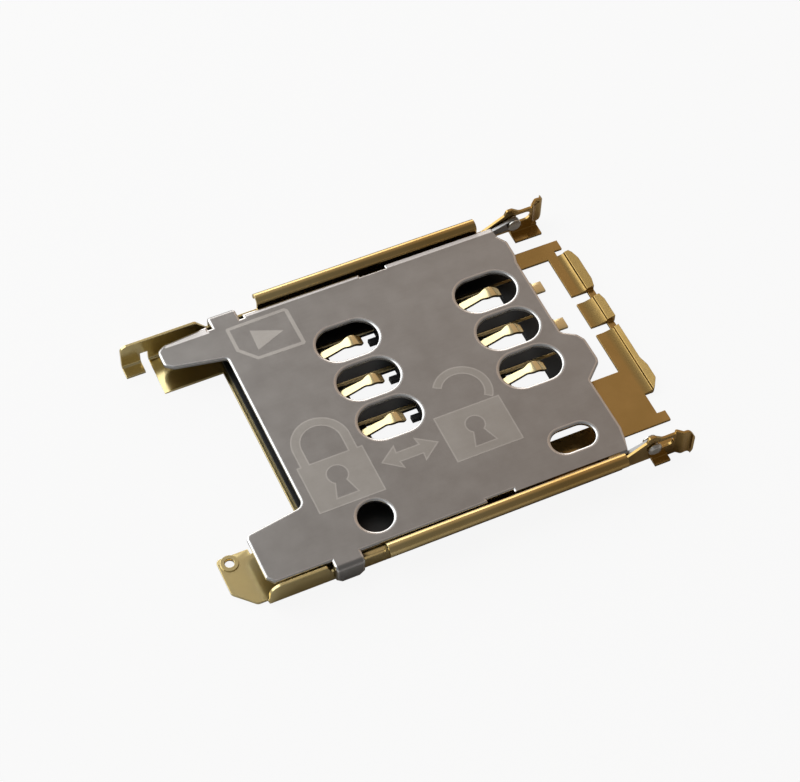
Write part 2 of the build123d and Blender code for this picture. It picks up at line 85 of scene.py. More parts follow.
def mergedForm(node):
    # A merged copy of a CAD node. Faces in one plane that touch share a number in the layer "plane".
    form = bmesh.new()
    form.from_mesh(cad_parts[node].data)
    bmesh.ops.remove_doubles(form, verts=form.verts, dist=1e-7)
    bmesh.ops.dissolve_limit(form, angle_limit=flatAngle, verts=form.verts, edges=form.edges)
    plane = form.faces.layers.int.new("plane")
    number = 0
    for first in form.faces:
        if first[plane]:
            continue
        number += 1
        first[plane] = number
        reached = [first]
        while reached:
            for edge in reached.pop().edges:
                for face in edge.link_faces:
                    if not face[plane] and edge.calc_face_angle() < flatAngle:
                        face[plane] = number
                        reached.append(face)
    return form


def softenEdges(form, edges, width, segments):
    made = bmesh.ops.bevel(form, geom=edges, offset=width * mm, offset_type="OFFSET", segments=segments,
                           profile=0.5, affect="EDGES", clamp_overlap=False)
    plane = form.faces.layers.int["plane"]
    for face in made["faces"]:
        face[plane] = 0
    return made["faces"]


def boundaryLoops(faces):
    # The closed loops of vertices around a group of faces that lie in one plane, with the group on their
    # left. Where a loop touches itself, it is split.
    inside = set(faces)
    onward = {}
    for face in faces:
        for corner in face.loops:
            if sum(other in inside for other in corner.edge.link_faces) == 1:
                onward.setdefault(corner.vert, []).append(corner.link_loop_next.vert)
    loops = []
    while onward:
        walk = [next(iter(onward))]
        while walk[-1] in onward:
            reached = onward[walk[-1]].pop()
            if not onward[walk[-1]]:
                del onward[walk[-1]]
            if reached in walk:
                start = walk.index(reached)
                loops.append(walk[start:])
                del walk[start + 1:]
            else:
                walk.append(reached)
        if len(walk) > 1:
            return []
    return loops


def fillFaults(triangles, loops):
    # How many edges of a fill fail to be used once on a loop, or else twice and in opposite ways.
    uses = {}
    for a, b, c in triangles:
        for edge in ((a, b), (b, c), (c, a)):
            uses[edge] = uses.get(edge, 0) + 1
    rim = {frozenset(edge) for loop in loops for edge in zip(loop, loop[1:] + loop[:1])}
    used = {frozenset(edge) for edge in uses}
    wrong = [edge for edge, count in uses.items()
             if count != 1 or uses.get((edge[1], edge[0]), 0) != (0 if frozenset(edge) in rim else 1)]
    return len(wrong) + len(rim - used)


fillTries = {
    "count": 9, "firstTurn": 0.37, "eachTurn": 0.7,     # how far the plane is turned for each fill, in radians
    "merge": 1e-7,        # points nearer than this are one, in mm
    "areaMiss": 1e-4,     # a fill this near to the area inside the loops is whole, in square mm
}


def fillLoops(loops, up):
    # Triangles between the loops. A filler can slip where points lie nearly in line, so a Delaunay fill is
    # followed by plain ones, each with the plane turned further, until one has no fault. If none is free of
    # faults, the one with the fewest is taken.
    tries = fillTries
    wanted = sum(a.co.cross(b.co).dot(up) for loop in loops for a, b in zip(loop, loop[1:] + loop[:1])) / 2
    side = up.orthogonal().normalized()
    corners = [vert for loop in loops for vert in loop]
    starts = [sum(len(loop) for loop in loops[:i]) for i in range(len(loops))]
    edges = [(start + i, start + (i + 1) % len(loop))
             for start, loop in zip(starts, loops) for i in range(len(loop))]
    best = None
    for turn in range(tries["count"]):
        along = Quaternion(up, tries["firstTurn"] + tries["eachTurn"] * turn) @ side
        across = up.cross(along)
        flat = [Vector((vert.co.dot(along), vert.co.dot(across))) / mm for vert in corners]
        if turn:
            paths = [[point.to_3d() for point in flat[start:start + len(loop)]]
                     for start, loop in zip(starts, loops)]
            picked = tessellate_polygon(paths)
        else:
            made = delaunay_2d_cdt(flat, edges, [], 2, tries["merge"])
            if not all(made[3]):
                continue
            picked = [[made[3][i][0] for i in triangle] for triangle in made[2]]
        triangles = [[corners[i] for i in triangle] for triangle in picked]
        covered = sum((b.co - a.co).cross(c.co - a.co).length for a, b, c in triangles) / 2
        miss = (fillFaults(triangles, loops), abs(covered - wanted) / (mm * mm))
        if best is None or miss < best[0]:
            best = (miss, triangles)
        if miss[0] == 0 and miss[1] < tries["areaMiss"]:
            break
    return best[1]


def refillPlanes(form):
    # Flat faces with openings are filled again from their rims, after the rims have moved.
    plane = form.faces.layers.int["plane"]
    groups = {}
    for face in form.faces:
        if face[plane]:
            groups.setdefault(face[plane], []).append(face)
    for number, faces in groups.items():
        if len(faces) < 2 and len(faces[0].verts) < 6:
            continue
        loops = boundaryLoops(faces)
        if not loops:
            continue
        up = max(faces, key=lambda face: face.calc_area()).normal.copy()
        material = faces[0].material_index
        bmesh.ops.delete(form, geom=faces, context="FACES_ONLY")
        triangles = fillLoops(loops, up)
        facing = sum((b.co - a.co).cross(c.co - a.co).dot(up) for a, b, c in triangles)
        for a, b, c in triangles:
            face = form.faces.new((a, b, c) if facing > 0 else (a, c, b))
            face.material_index = material
            face[plane] = number
    loose = [edge for edge in form.edges if not edge.link_faces]
    bmesh.ops.delete(form, geom=loose, context="EDGES")
    slivers = [face for face in form.faces if face.calc_area() < sliver
               and any(len(edge.link_faces) != 2 for edge in face.edges)]
    bmesh.ops.delete(form, geom=slivers, context="FACES")
    gaps = [edge for edge in form.edges if len(edge.link_faces) == 1]
    bmesh.ops.edgeloop_fill(form, edges=gaps)
    bmesh.ops.recalc_face_normals(form, faces=form.faces)


def sharpEdges(form):
    return [edge for edge in form.edges if edge.is_manifold and edge.calc_face_angle() > sharpAngle]


def settle(form, node, inward, outward=0.014):
    # Corners that the rounding threw off the CAD node's surface go back onto it.
    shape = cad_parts[node].data
    surface = BVHTree.FromPolygons([vert.co for vert in shape.vertices],
                                   [face.vertices for face in shape.polygons])
    for vert in form.verts:
        place, facing, _, distance = surface.find_nearest(vert.co)
        outside = (vert.co - place).dot(facing) > 0
        if distance > (outward if outside else inward) * mm:
            vert.co = place


def evenNormals(form):
    # One normal a vertex: that of the flat or widest faces it borders, else the mean of all around it.
    plane = form.faces.layers.int["plane"]
    sums = {}
    for face in form.faces:
        if face[plane]:
            sums[face[plane]] = sums.get(face[plane], Vector((0, 0, 0))) + face.normal * face.calc_area()
    normals = []
    for vert in form.verts:
        numbers = {face[plane] for face in vert.link_faces} - {0}
        if numbers:
            total = sum((sums[number] for number in numbers), Vector((0, 0, 0)))
        else:
            total = sum((face.normal * face.calc_area() for face in vert.link_faces), Vector((0, 0, 0)))
        normals.append(total.normalized())
    return normals


def shownForm(form, name, node, inward):
    # The finished form as a piece of the scene, with even shading over its flat faces.
    settle(form, node, inward)
    refillPlanes(form)
    form.normal_update()
    form.verts.index_update()
    for face in form.faces:
        face.smooth = True
    for edge in form.edges:
        edge.smooth = True
    normals = evenNormals(form)
    mesh = bpy.data.meshes.new(name)
    form.to_mesh(mesh)
    form.free()
    for layer in ("custom_normal", "sharp_face", "sharp_edge"):
        if layer in mesh.attributes:
            mesh.attributes.remove(mesh.attributes[layer])
    mesh.normals_split_custom_set_from_vertices(normals)
    return showMesh(name, mesh)


def refinedCopy(node, name, width, segments, thinRib=(0.0, 0.0)):
    # A merged copy of a CAD node with its edges rounded, to stand for that node. A rib too thin for that,
    # which lies between two values of X, keeps its edges.
    form = mergedForm(node)
    edges = [edge for edge in sharpEdges(form)
             if not all(thinRib[0] < vert.co.x / mm < thinRib[1] for vert in edge.verts)]
    softenEdges(form, edges, width, segments)
    for face in form.faces:
        face.material_index = 0
    return shownForm(form, name, node, width)


def setMaterials(piece, *materials):
    for material in materials:
        piece.data.materials.append(material)


# Shader groups shared by several finishes

def newGroup(name, inputs, outputs):
    tree = bpy.data.node_groups.new(name, "ShaderNodeTree")
    for label, kind, value in inputs:
        socket = tree.interface.new_socket(name=label, in_out="INPUT", socket_type=kind)
        socket.default_value = value
    for label, kind in outputs:
        tree.interface.new_socket(name=label, in_out="OUTPUT", socket_type=kind)
    return tree, tree.nodes.new("NodeGroupInput"), tree.nodes.new("NodeGroupOutput")


def mathNode(tree, operation, first, second, clamp=False):
    node = tree.nodes.new("ShaderNodeMath")
    node.operation = operation
    node.use_clamp = clamp
    for socket, value in zip(node.inputs, (first, second)):
        if isinstance(value, (int, float)):
            socket.default_value = value
        else:
            tree.links.new(value, socket)
    return node.outputs[0]


def noiseNode(tree, vector, scale, detail, rough=0.5):
    node = tree.nodes.new("ShaderNodeTexNoise")
    node.inputs["Detail"].default_value = detail
    node.inputs["Roughness"].default_value = rough
    if isinstance(scale, (int, float)):
        node.inputs["Scale"].default_value = scale
    else:
        tree.links.new(scale, node.inputs["Scale"])
    tree.links.new(vector, node.inputs["Vector"])
    return node.outputs["Fac"]


def rolledGrain():
    # Fine streaks along the rolling direction, with a faint cloudiness and a scatter of tiny pits.
    tree, start, end = newGroup(
        "rolledGrain",
        [("Streak Density", "NodeSocketFloat", 9000.0), ("Streak Length", "NodeSocketFloat", 0.06),
         ("Cloud Scale", "NodeSocketFloat", 750.0), ("Pit Scale", "NodeSocketFloat", 5200.0)],
        [("Streaks", "NodeSocketFloat"), ("Clouds", "NodeSocketFloat"), ("Pits", "NodeSocketFloat")],
    )
    place = tree.nodes.new("ShaderNodeTexCoord").outputs["Object"]
    parts = tree.nodes.new("ShaderNodeSeparateXYZ")
    tree.links.new(place, parts.inputs[0])
    joined = tree.nodes.new("ShaderNodeCombineXYZ")
    drawn = mathNode(tree, "MULTIPLY", parts.outputs["X"], start.outputs["Streak Length"])
    tree.links.new(drawn, joined.inputs["X"])
    tree.links.new(parts.outputs["Y"], joined.inputs["Y"])
    tree.links.new(parts.outputs["Z"], joined.inputs["Z"])
    streaks = noiseNode(tree, joined.outputs[0], start.outputs["Streak Density"], 4.0, 0.6)
    tree.links.new(streaks, end.inputs["Streaks"])
    tree.links.new(noiseNode(tree, place, start.outputs["Cloud Scale"], 5.0, 0.62), end.inputs["Clouds"])
    deepest = mathNode(tree, "SUBTRACT", noiseNode(tree, place, start.outputs["Pit Scale"], 2.0), 0.62, True)
    tree.links.new(mathNode(tree, "MULTIPLY", deepest, 4.0, True), end.inputs["Pits"])
    return tree


def platedSkin():
    # Slow waviness of a plated strip, finer orange peel and patches of deeper tone.
    tree, start, end = newGroup(
        "platedSkin",
        [("Wave Scale", "NodeSocketFloat", 900.0), ("Peel Scale", "NodeSocketFloat", 5200.0),
         ("Peel Share", "NodeSocketFloat", 0.35), ("Tone Scale", "NodeSocketFloat", 420.0)],
        [("Height", "NodeSocketFloat"), ("Tone", "NodeSocketFloat")],
    )
    place = tree.nodes.new("ShaderNodeTexCoord").outputs["Object"]
    wave = noiseNode(tree, place, start.outputs["Wave Scale"], 2.0)
    peel = noiseNode(tree, place, start.outputs["Peel Scale"], 3.0)
    peelPart = mathNode(tree, "MULTIPLY", peel, start.outputs["Peel Share"])
    tree.links.new(mathNode(tree, "ADD", wave, peelPart), end.inputs["Height"])
    tree.links.new(noiseNode(tree, place, start.outputs["Tone Scale"], 4.0, 0.6), end.inputs["Tone"])
    return tree


def paintedEdgeHighlight():
    # A straight band on the cover's upper face beside its far edge, painted pale: a painted highlight that
    # stands in for the light the rounded edge catches.
    tree, start, end = newGroup(
        "paintedEdgeHighlight",
        [("From X", "NodeSocketFloat", -0.0055), ("To X", "NodeSocketFloat", 0.0083),
         ("Edge Y", "NodeSocketFloat", 0.0075), ("Top Z", "NodeSocketFloat", 0.00135)],
        [("Mask", "NodeSocketFloat")],
    )
    parts = tree.nodes.new("ShaderNodeSeparateXYZ")
    tree.links.new(tree.nodes.new("ShaderNodeTexCoord").outputs["Object"], parts.inputs[0])
    # For each side of the band: its axis, its input, the way into the band, how far before that input
    # the band begins, and how wide its edge is blurred.
    mask = None
    for axis, label, way, lead, blur in (("X", "From X", 1, 0.0, 0.05), ("X", "To X", -1, 0.0, 0.05),
                                         ("Y", "Edge Y", 1, 0.25, 0.04), ("Z", "Top Z", 1, 0.03, 0.01)):
        past = mathNode(tree, "SUBTRACT", parts.outputs[axis], start.outputs[label])
        past = mathNode(tree, "ADD", past, lead * mm)
        step = mathNode(tree, "MULTIPLY", past, way / (blur * mm), True)
        mask = step if mask is None else mathNode(tree, "MULTIPLY", mask, step)
    tree.links.new(mask, end.inputs["Mask"])
    return tree


grainGroup = rolledGrain()
edgeHighlightGroup = paintedEdgeHighlight()
skinGroup = platedSkin()


# Finishes

def newMaterial(name):
    material = bpy.data.materials.new(name)
    material.use_nodes = True
    tree = material.node_tree
    return material, tree, tree.nodes["Principled BSDF"]


def placeGroup(tree, group, values):
    node = tree.nodes.new("ShaderNodeGroup")
    node.node_tree = group
    for label, value in values.items():
        node.inputs[label].default_value = value
    return node


def rampNode(tree, factor, stops):
    node = tree.nodes.new("ShaderNodeValToRGB")
    ramp = node.color_ramp
    while len(ramp.elements) < len(stops):
        ramp.elements.new(0.5)
    for element, (position, colour) in zip(ramp.elements, stops):
        element.position = position
        element.color = (*colour, 1.0)
    tree.links.new(factor, node.inputs["Fac"])
    return node.outputs["Color"]


def rangeNode(tree, value, low, high, fromLow=0.0, fromHigh=1.0):
    node = tree.nodes.new("ShaderNodeMapRange")
    node.inputs["From Min"].default_value = fromLow
    node.inputs["From Max"].default_value = fromHigh
    node.inputs["To Min"].default_value = low
    node.inputs["To Max"].default_value = high
    tree.links.new(value, node.inputs["Value"])
    return node.outputs["Result"]


def bumpInto(tree, shader, height, strength, distance):
    node = tree.nodes.new("ShaderNodeBump")
    node.inputs["Strength"].default_value = strength
    node.inputs["Distance"].default_value = distance
    tree.links.new(height, node.inputs["Height"])
    tree.links.new(node.outputs["Normal"], shader.inputs["Normal"])


def mixNode(tree, factor, first, second, blend="MIX"):
    node = tree.nodes.new("ShaderNodeMix")
    node.data_type = "RGBA"
    node.blend_type = blend
    tree.links.new(factor, node.inputs["Factor"])
    tree.links.new(first, node.inputs["A"])
    node.inputs["B"].default_value = second
    return node.outputs["Result"]


steelLook = {
    "streakShare": 0.2, "cloudShare": 0.8, "toneStops": (0.32, 0.68), "bump": 0.35,
    "roughSpread": 0.015, "roughStops": (0.35, 0.65),
    "highlightColour": (0.95, 0.93, 0.92), "highlightRough": 0.5,     # painted highlight: the pale colour and rougher finish of a band beside an edge
}


def rolledSteel(name, dark, light, rough, grainDepth, highlightBands=()):
    look = steelLook
    material, tree, shader = newMaterial(name)
    grain = placeGroup(tree, grainGroup, {})
    mixed = mathNode(tree, "ADD", mathNode(tree, "MULTIPLY", grain.outputs["Streaks"], look["streakShare"]),
                     mathNode(tree, "MULTIPLY", grain.outputs["Clouds"], look["cloudShare"]))
    colour = rampNode(tree, mixed, list(zip(look["toneStops"], (dark, light))))
    spread = look["roughSpread"]
    roughness = rangeNode(tree, grain.outputs["Clouds"], rough - spread, rough + spread, *look["roughStops"])
    # Each band is a painted highlight, pale and rougher, beside one of the cover's edges.
    for fromX, toX, edgeY in highlightBands:
        highlightBand = placeGroup(tree, edgeHighlightGroup, {"From X": fromX * mm, "To X": toX * mm, "Edge Y": edgeY * mm})
        mask = highlightBand.outputs["Mask"]
        colour = mixNode(tree, mask, colour, (*look["highlightColour"], 1))
        roughness = mathNode(tree, "MAXIMUM", roughness, mathNode(tree, "MULTIPLY", mask, look["highlightRough"]))
    tree.links.new(colour, shader.inputs["Base Color"])
    tree.links.new(roughness, shader.inputs["Roughness"])
    shader.inputs["Metallic"].default_value = 1.0
    height = mathNode(tree, "SUBTRACT", grain.outputs["Streaks"], grain.outputs["Pits"])
    bumpInto(tree, shader, height, look["bump"], grainDepth * mm)
    return material


goldLook = {"toneStops": (0.35, 0.65), "bump": 0.5, "duller": 0.05, "glossier": 0.04}


def goldPlate(name, dark, light, rough, depth, waveScale, paintedShade=None):
    # Painted shade: the plating is darkened from one X to another, towards the side that catches less light.
    look = goldLook
    material, tree, shader = newMaterial(name)
    skin = placeGroup(tree, skinGroup, {"Wave Scale": waveScale})
    colour = rampNode(tree, skin.outputs["Tone"], list(zip(look["toneStops"], (dark, light))))
    if paintedShade:
        fromX, toX, deep = paintedShade
        parts = tree.nodes.new("ShaderNodeSeparateXYZ")
        tree.links.new(tree.nodes.new("ShaderNodeTexCoord").outputs["Object"], parts.inputs[0])
        share = rangeNode(tree, parts.outputs["X"], 0.0, 1.0, fromX * mm, toX * mm)
        colour = mixNode(tree, share, colour, (*deep, 1), "MULTIPLY")
    tree.links.new(colour, shader.inputs["Base Color"])
    roughness = rangeNode(tree, skin.outputs["Tone"], rough + look["duller"], rough - look["glossier"],
                          *look["toneStops"])
    tree.links.new(roughness, shader.inputs["Roughness"])
    shader.inputs["Metallic"].default_value = 1.0
    bumpInto(tree, shader, skin.outputs["Height"], look["bump"], depth * mm)
    return material


plasticLook = {
    "skin": {"Wave Scale": 2400.0, "Peel Scale": 14000.0, "Peel Share": 0.8},
    "tone": [(0.3, (0.008, 0.0075, 0.007)), (0.7, (0.016, 0.015, 0.014))],
    "rough": (0.42, 0.55), "roughStops": (0.35, 0.65), "bump": 0.4, "depth": 0.004,
}


def mouldedBlack(name):
    look = plasticLook
    material, tree, shader = newMaterial(name)
    skin = placeGroup(tree, skinGroup, look["skin"])
    tree.links.new(rampNode(tree, skin.outputs["Tone"], look["tone"]), shader.inputs["Base Color"])
    roughness = rangeNode(tree, skin.outputs["Tone"], *look["rough"], *look["roughStops"])
    tree.links.new(roughness, shader.inputs["Roughness"])
    bumpInto(tree, shader, skin.outputs["Height"], look["bump"], look["depth"] * mm)
    return material


# Each finish: its darker and lighter tone, roughness and grain depth in mm
# The cover's steel carries two painted-highlight bands, along its far edge and along the far arm's edge.
coverSteel = rolledSteel("coverSteel", (0.378, 0.366, 0.355), (0.429, 0.417, 0.405), 0.33, 0.0006,
                         highlightBands=[(-5.5, 8.3, 7.5), (-9.8, -7.4, 7.28)])
# Painted highlight: the rolled edges take a lighter copy of the cover's steel, standing in for the light that
# they catch.
coverEdgeHighlight = rolledSteel("coverEdgeHighlight", (0.66, 0.645, 0.63), (0.73, 0.715, 0.70), 0.24, 0.0004)
etchedSteel = rolledSteel("etchedSteel", (0.440, 0.422, 0.396), (0.486, 0.468, 0.442), 0.40, 0.0010)
etchedRim = rolledSteel("etchedRim", (0.52, 0.50, 0.475), (0.57, 0.55, 0.52), 0.42, 0.0010)
pinSteel = rolledSteel("pinSteel", (0.58, 0.55, 0.50), (0.68, 0.65, 0.60), 0.20, 0.0005)
# The frame's plating is darkened by painted shade from X -9.5 mm to X 5 mm, standing in for dimmer light
# towards +X.
frameGold = goldPlate("frameGold", (0.80, 0.645, 0.305), (0.90, 0.745, 0.385), 0.21, 0.008, 900.0,
                      paintedShade=(-9.5, 5.0, (0.60, 0.48, 0.335)))
contactGold = goldPlate("contactGold", (0.84, 0.68, 0.36), (0.92, 0.77, 0.44), 0.20, 0.003, 1500.0)
# Painted shade: a near-black gold for the springs' side faces, standing in for the shade along their sides.
sideShadeGold = goldPlate("sideShadeGold", (0.10, 0.07, 0.03), (0.16, 0.11, 0.05), 0.50, 0.003, 1500.0)
blackPlastic = mouldedBlack("blackPlastic")
print("finishes ready")


# Cover: the stamping rounds the upper side's edges, and leaves the underside's nearly sharp

coverLook = {
    "top": 1.35, "tabFace": 8.08, "bend": 0.27, "armStart": 7.0,
    "roll": 0.12, "holeRoll": 0.16,       # width of the roll along the outline and around the holes
    "rollDepth": 0.4, "rollSegments": 5,  # the roll is flattened to this share of its depth
    "underEdge": 0.022, "underSegments": 2,
    "holes": ((-5.6, 8.2), 6.95),         # all holes lie between these X, and this near to the middle
    "flatHalf": 7.6, "armCorner": (7.31, 7.0),
    "onFace": 0.001, "onBend": 0.014,     # how near to a face or a bend counts as on it
    "settle": 0.075,
}


def onOuterSide(point):
    # True on the upper side of the sheet and on what it becomes along the tabs.
    look = coverLook
    x, y, z = (value / mm for value in point)
    y = abs(y)
    bendY, bendZ = look["tabFace"] - look["bend"], look["top"] - look["bend"]
    onTop = abs(z - look["top"]) < look["onFace"] and (x < look["armCorner"][0] or y < look["armCorner"][1])
    onFold = y > look["tabFace"] - look["onFace"]
    onBend = y > bendY and z > bendZ and math.hypot(y - bendY, z - bendZ) > look["bend"] - look["onBend"]
    return onTop or (x < look["armStart"] and (onFold or onBend))


def makeCover():
    look = coverLook
    form = mergedForm("cover")
    for face in form.faces:
        face.material_index = 0
    (fromX, toX), halfY = look["holes"]
    for aroundHoles, width in ((True, look["holeRoll"]), (False, look["roll"])):
        rolled = []
        for edge in sharpEdges(form):
            inHole = all(fromX < vert.co.x / mm < toX and abs(vert.co.y) / mm < halfY for vert in edge.verts)
            if inHole == aroundHoles and all(onOuterSide(vert.co) for vert in edge.verts):
                rolled.append(edge)
        made = softenEdges(form, rolled, width, look["rollSegments"])
        # The rolled faces take the lighter painted-highlight finish.
        for face in made:
            face.material_index = 1
        for vert in {vert for face in made for vert in face.verts}:
            drop = look["top"] * mm - vert.co.z
            if drop < width * 1.01 * mm and abs(vert.co.y) < look["flatHalf"] * mm:
                vert.co.z += drop * (1 - look["rollDepth"])
    for face in softenEdges(form, sharpEdges(form), look["underEdge"], look["underSegments"]):
        face.material_index = 0
    piece = shownForm(form, "coverSheet", "cover", look["settle"])
    setMaterials(piece, coverSteel, coverEdgeHighlight)
    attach(piece, "lid")
    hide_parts("cover")


makeCover()
print("cover ready")


# Signs etched into the cover, as thin plates of a lighter finish

signLook = {
    "proud": 0.003,       # height over the cover's upper face
    "rim": 0.07,          # width of the brighter outline of each sign
    "pale": ("cardSign", "arrowheadSign"),     # signs in the outline's finish all over
    "paleRim": 0.04,
}


def arcPoints(centre, radius, fromAngle, toAngle, count):
    steps = [fromAngle + (toAngle - fromAngle) * i / (count - 1) for i in range(count)]
    return [(centre[0] + radius * math.cos(math.radians(a)), centre[1] + radius * math.sin(math.radians(a)))
            for a in steps]


def keyhole(x, y, radius, baseY, baseLeft, baseRight, waist=0.26):
    side = math.degrees(math.asin(waist / radius))
    ring = arcPoints((x, y), radius, -90 + side, 270 - side, 28)
    return ring + [(baseLeft, baseY), (baseRight, baseY)]


def arch(x, y, outer, inner, start, end, count=30):
    return arcPoints((x, y), outer, start, end, count) + arcPoints((x, y), inner, end, start, count)


def closedPadlock():
    body = [(-6.70, -2.12), (-6.70, -4.92), (-3.25, -4.92), (-3.25, -2.12), (-3.50, -2.12)]
    shackle = arcPoints((-5.0, -1.22), 1.5, 0, 180, 34)
    outline = body + shackle + [(-6.50, -2.12)]
    window = [(-6.0, -2.12)] + list(reversed(arcPoints((-5.0, -1.22), 1.0, 0, 180, 26))) + [(-4.0, -2.12)]
    return [outline, window, keyhole(-5.02, -3.18, 0.50, -4.42, -5.55, -4.50)]


def openPadlock():
    body = [(0.50, -2.10), (0.50, -4.90), (4.05, -4.90), (4.05, -2.10)]
    return [body, keyhole(2.25, -3.20, 0.46, -4.38, 1.75, 2.80, 0.24)]


signShapes = {
    "closedPadlockSign": closedPadlock(),
    "openPadlockSign": openPadlock(),
    "openShackleSign": [arch(2.55, -1.20, 1.50, 1.04, -36.5, 150)],
    "slideArrowSign": [[(-2.87, -3.45), (-1.88, -4.20), (-1.95, -3.76), (-0.78, -3.76), (-0.82, -4.20),
                        (0.20, -3.43), (-0.85, -2.72), (-0.78, -3.16), (-1.92, -3.16), (-1.88, -2.72)]],
    "cardSign": [[(-6.64, 5.46), (-5.84, 4.58), (-3.40, 4.54), (-3.27, 4.64), (-3.30, 6.86), (-3.44, 7.02),
                  (-6.56, 6.97), (-6.64, 6.88)],
                 [(-6.46, 5.54), (-6.46, 6.79), (-3.50, 6.84), (-3.47, 4.74), (-5.76, 4.76)]],
    "arrowheadSign": [[(-5.60, 5.12), (-4.00, 5.75), (-5.55, 6.40)]],
}


def turned(loop, left):
    # The loop in the direction that keeps the sign's face on its left: around the outline or around an opening.
    area = sum(a[0] * b[1] - b[0] * a[1] for a, b in zip(loop, loop[1:] + loop[:1]))
    return loop if (area > 0) == left else list(reversed(loop))


def offsetLoop(loop, distance):
    # The loop moved to its left, with mitred corners.
    def leftOf(start, end):
        length = math.dist(start, end)
        return (start[1] - end[1]) / length, (end[0] - start[0]) / length

    moved = []
    for before, point, after in zip(loop[-1:] + loop[:-1], loop, loop[1:] + loop[:1]):
        (ax, ay), (bx, by) = leftOf(before, point), leftOf(point, after)
        reach = distance / max(1 + ax * bx + ay * by, 0.2)
        moved.append((point[0] + (ax + bx) * reach, point[1] + (ay + by) * reach))
    return moved


def makeSign(name, loops):
    # The rim of every loop is a strip of its own finish, and the face between the rims is filled.
    top = coverLook["top"] + signLook["proud"]
    width = signLook["paleRim"] if name in signLook["pale"] else signLook["rim"]
    form = bmesh.new()
    inner = []
    for number, loop in enumerate(loops):
        outline = turned(list(loop), number == 0)
        edge, line = ([Vector((x, y, top)) for x, y in path] for path in (outline, offsetLoop(outline, width)))
        outer, inset = ([form.verts.new(point * mm) for point in path] for path in (edge, line))
        for i in range(len(outline)):
            j = (i + 1) % len(outline)
            form.faces.new((outer[i], outer[j], inset[j], inset[i])).material_index = 1
        inner.append((line, inset))
    corners = [vert for line, inset in inner for vert in inset]
    for triangle in tessellate_polygon([line for line, inset in inner]):
        a, b, c = (corners[i] for i in triangle)
        upward = (b.co - a.co).cross(c.co - a.co).z > 0
        face = form.faces.new((a, b, c) if upward else (a, c, b))
        face.material_index = 1 if name in signLook["pale"] else 0
    made = bmesh.ops.extrude_face_region(form, geom=list(form.faces))
    lowered = [part for part in made["geom"] if isinstance(part, bmesh.types.BMVert)]
    bmesh.ops.translate(form, verts=lowered, vec=(0, 0, -2 * signLook["proud"] * mm))
    bmesh.ops.recalc_face_normals(form, faces=form.faces)
    mesh = bpy.data.meshes.new(name)
    form.to_mesh(mesh)
    form.free()
    piece = showMesh(name, mesh)
    setMaterials(piece, etchedSteel, etchedRim)
    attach(piece, "lid")


for signName, signLoops in signShapes.items():
    makeSign(signName, signLoops)
print("signs ready:", len(signShapes))


# Frame and insulator

frameLook = {"edge": 0.018, "segments": 2}

framePiece = refinedCopy("frame", "frameSheet", frameLook["edge"], frameLook["segments"])
setMaterials(framePiece, frameGold)
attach(framePiece, "socket")
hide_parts("frame")

insulatorLook = {"edge": 0.03, "segments": 2, "thinRib": (0.99, 1.03)}

insulatorPiece = refinedCopy("insulator", "insulatorMoulding", insulatorLook["edge"],
                             insulatorLook["segments"], insulatorLook["thinRib"])
setMaterials(insulatorPiece, blackPlastic)
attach(insulatorPiece, "socket")
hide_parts("insulator")
print("frame and insulator ready")


# Contacts: one spring lofted along its bent line, repeated on the card's grid

contactLook = {
    "pitchX": 7.62, "pitchY": 2.54, "columns": 2, "rows": 3, "firstX": -1.35, "firstY": 3.90,
    "sheet": 0.15, "top": 0.35,
    "barLeft": -3.40, "windowLeft": -2.90, "windowRight": 2.00, "barRight": 2.35,
    "half": 0.95, "windowHalf": 0.78, "tailWidth": 0.65, "tailDown": 2.62, "tailEnd": 3.32,
    "tailBend": [(0.0, 0.0), (0.6, 0.1), (0.9, 0.35), (1.0, 0.8)],     # in sheet thicknesses, outward and down
    "tailFoot": 1.3,
    "edge": 0.012, "edgeSegments": 2, "smoothing": 2,
    "across": [-1.0, -0.95, -0.6, -0.2, 0.2, 0.6, 0.95, 1.0],          # points over the spring's width
    "edgeThickness": 0.84,
}
# Stations of the spring from root to nose: x, height of its middle, width, crown
springStations = [
    (-2.95, 0.275, 0.46, 0.00), (-2.60, 0.375, 0.46, 0.00), (-2.20, 0.490, 0.46, 0.00),
    (-1.70, 0.633, 0.46, 0.00), (-1.20, 0.776, 0.45, 0.00), (-0.80, 0.890, 0.43, 0.00),
    (-0.50, 0.976, 0.40, 0.000), (-0.36, 1.016, 0.38, 0.000), (-0.27, 1.042, 0.38, 0.002),
    (-0.18, 1.068, 0.43, 0.006), (-0.10, 1.091, 0.52, 0.010), (0.00, 1.119, 0.60, 0.014),
    (0.09, 1.145, 0.64, 0.016), (0.175, 1.160, 0.65, 0.016), (0.253, 1.160, 0.65, 0.016),
    (0.330, 1.147, 0.65, 0.016), (0.404, 1.120, 0.64, 0.014), (0.476, 1.078, 0.63, 0.012),
    (0.580, 1.003, 0.60, 0.008), (0.680, 0.932, 0.55, 0.004), (0.745, 0.886, 0.47, 0.002),
    (0.780, 0.860, 0.36, 0.00),
]


